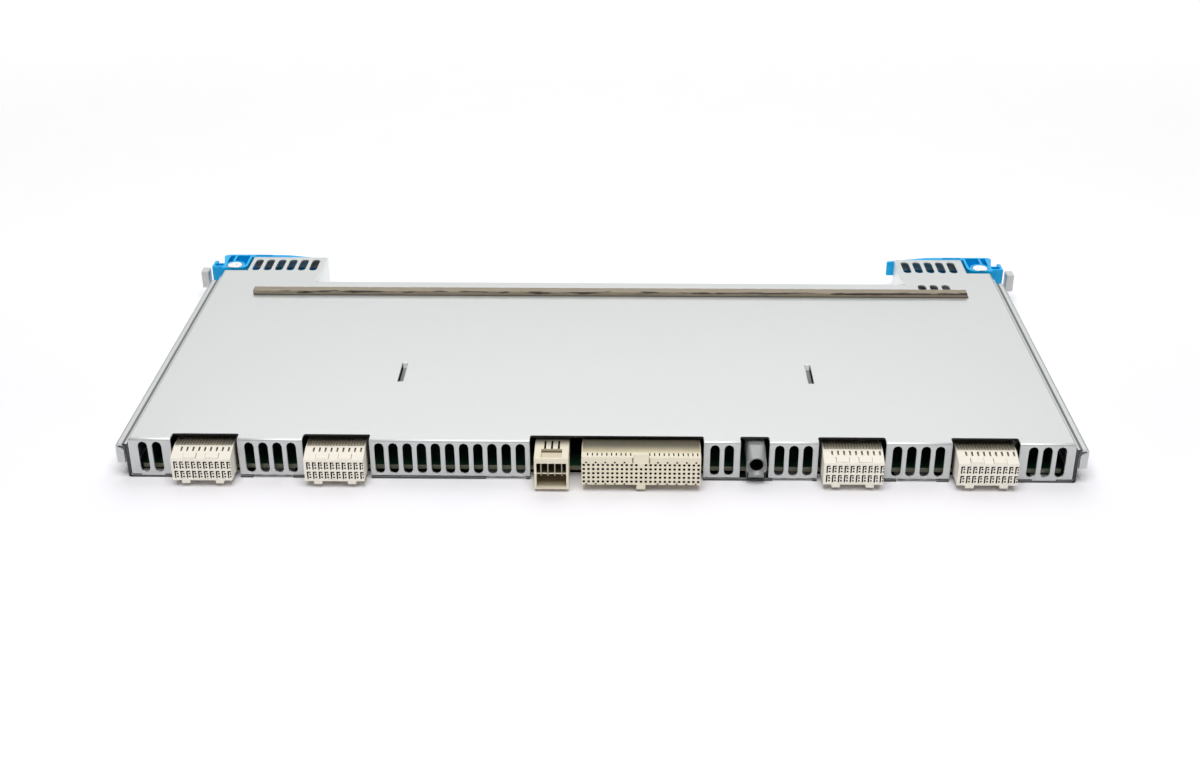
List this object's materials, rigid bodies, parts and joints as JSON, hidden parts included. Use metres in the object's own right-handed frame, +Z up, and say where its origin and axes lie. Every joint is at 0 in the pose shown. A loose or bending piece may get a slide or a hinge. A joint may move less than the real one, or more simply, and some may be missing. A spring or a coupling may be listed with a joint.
{
  "type": "storage switch board",
  "caption": "Slide-in switch module for a storage enclosure: flat sheet steel case with a slotted lip, backplane connectors, a guide socket, a shielding gasket and hinged ejector levers",
  "frame": {"origin": "middle of the footprint, on the tray's underside", "axes": "+X runs along the connector face to the right as seen from the connectors, +Y from the connectors towards the levers, +Z up through the cover"},
  "size_m": [0.4268, 0.2134, 0.0212],
  "materials": {
    "zinc_sheet": "zinc-coated sheet, satin",
    "gasket_fabric": "metallised woven fabric over foam",
    "board_laminate": "green solder mask",
    "connector_plastic": "moulded cream plastic",
    "contact_metal": "plated",
    "die_cast": "die-cast, satin",
    "lever_plastic": "moulded blue plastic",
    "rivet_steel": "bright zinc",
    "package_plastic": "moulded black",
    "pad_rubber": "soft grey pad",
    "sink_aluminium": "plain aluminium",
    "pin_plastic": "natural nylon",
    "pipe_plastic": "clear moulded plastic"
  },
  "bodies": {
    "chassis": {"base_tray": "zinc_sheet", "top_cover": "zinc_sheet", "emi_gasket": "gasket_fabric", "circuit_board": "board_laminate", "signal_connector_1": "connector_plastic", "signal_connector_2": "connector_plastic", "signal_connector_3": "connector_plastic", "signal_connector_4": "connector_plastic", "control_connector": "connector_plastic", "power_connector": "connector_plastic", "power_contacts": "contact_metal", "guide_socket": "die_cast", "left_pivot_rivet": "rivet_steel", "right_pivot_rivet": "rivet_steel", "board_standoffs": "rivet_steel", "board_screws": "rivet_steel", "cover_screws": "rivet_steel", "switch_chip": "package_plastic", "thermal_pad": "pad_rubber", "heat_sink": "sink_aluminium", "heat_sink_pins": "pin_plastic", "power_inductors": "package_plastic", "bulk_capacitors": "sink_aluminium", "management_chip": "package_plastic", "memory_chip": "package_plastic", "light_pipes": "pipe_plastic"},
    "left_lever": {"left_lever": "lever_plastic"},
    "right_lever": {"right_lever": "lever_plastic"}
  },
  "joints": [
    {"name": "left_lever_hinge", "type": "hinge", "parent": "chassis", "child": "left_lever", "pos_m": [-0.1962, 0.09285, 0.0135], "axis": [0, 0, 1], "range_deg": [0, 35]},
    {"name": "right_lever_hinge", "type": "hinge", "parent": "chassis", "child": "right_lever", "pos_m": [0.1962, 0.09285, 0.0135], "axis": [0, 0, -1], "range_deg": [0, 35]}
  ]
}
